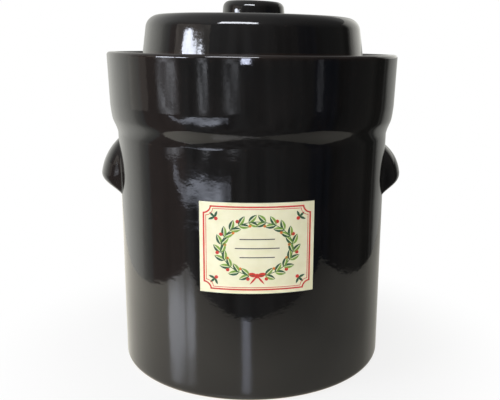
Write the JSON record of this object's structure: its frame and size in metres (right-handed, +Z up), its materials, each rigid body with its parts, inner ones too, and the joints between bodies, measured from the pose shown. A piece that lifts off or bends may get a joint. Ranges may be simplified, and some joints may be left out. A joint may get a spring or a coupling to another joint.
{
  "type": "fermentation crock",
  "caption": "Straight-sided glazed stoneware fermentation crock with a water gutter round its neck, a domed lid with a button knob, ear handles, loose weight stones and a paper label.",
  "frame": {"origin": "middle of the foot ring, on the surface that the crock stands on", "axes": "+Z up the crock's axis, -Y towards the front with the label, +X towards the right handle"},
  "size_m": [0.302, 0.28, 0.3525],
  "materials": {
    "glaze": "gloss",
    "bare_stoneware": "matte",
    "paper": "satin"
  },
  "bodies": {
    "crock": {"pot_body": "glaze", "neck_ring": "glaze", "gutter_collar": "glaze", "handle_left": "glaze", "handle_right": "glaze", "label": "paper"},
    "lid": {"lid": "glaze", "lid_knob": "glaze"},
    "stone_front": {"weight_stone_front": "bare_stoneware"},
    "stone_back": {"weight_stone_back": "bare_stoneware"}
  },
  "joints": [
    {"name": "lid_lift", "type": "slide", "parent": "crock", "child": "lid", "axis": [0, 0, 1], "range_m": [0, 0.16]},
    {"name": "stone_front_rise", "type": "slide", "parent": "crock", "child": "stone_front", "axis": [0, 0, 1], "range_m": [0, 0.18]},
    {"name": "stone_back_rise", "type": "slide", "parent": "crock", "child": "stone_back", "axis": [0, 0, 1], "range_m": [0, 0.18]}
  ]
}
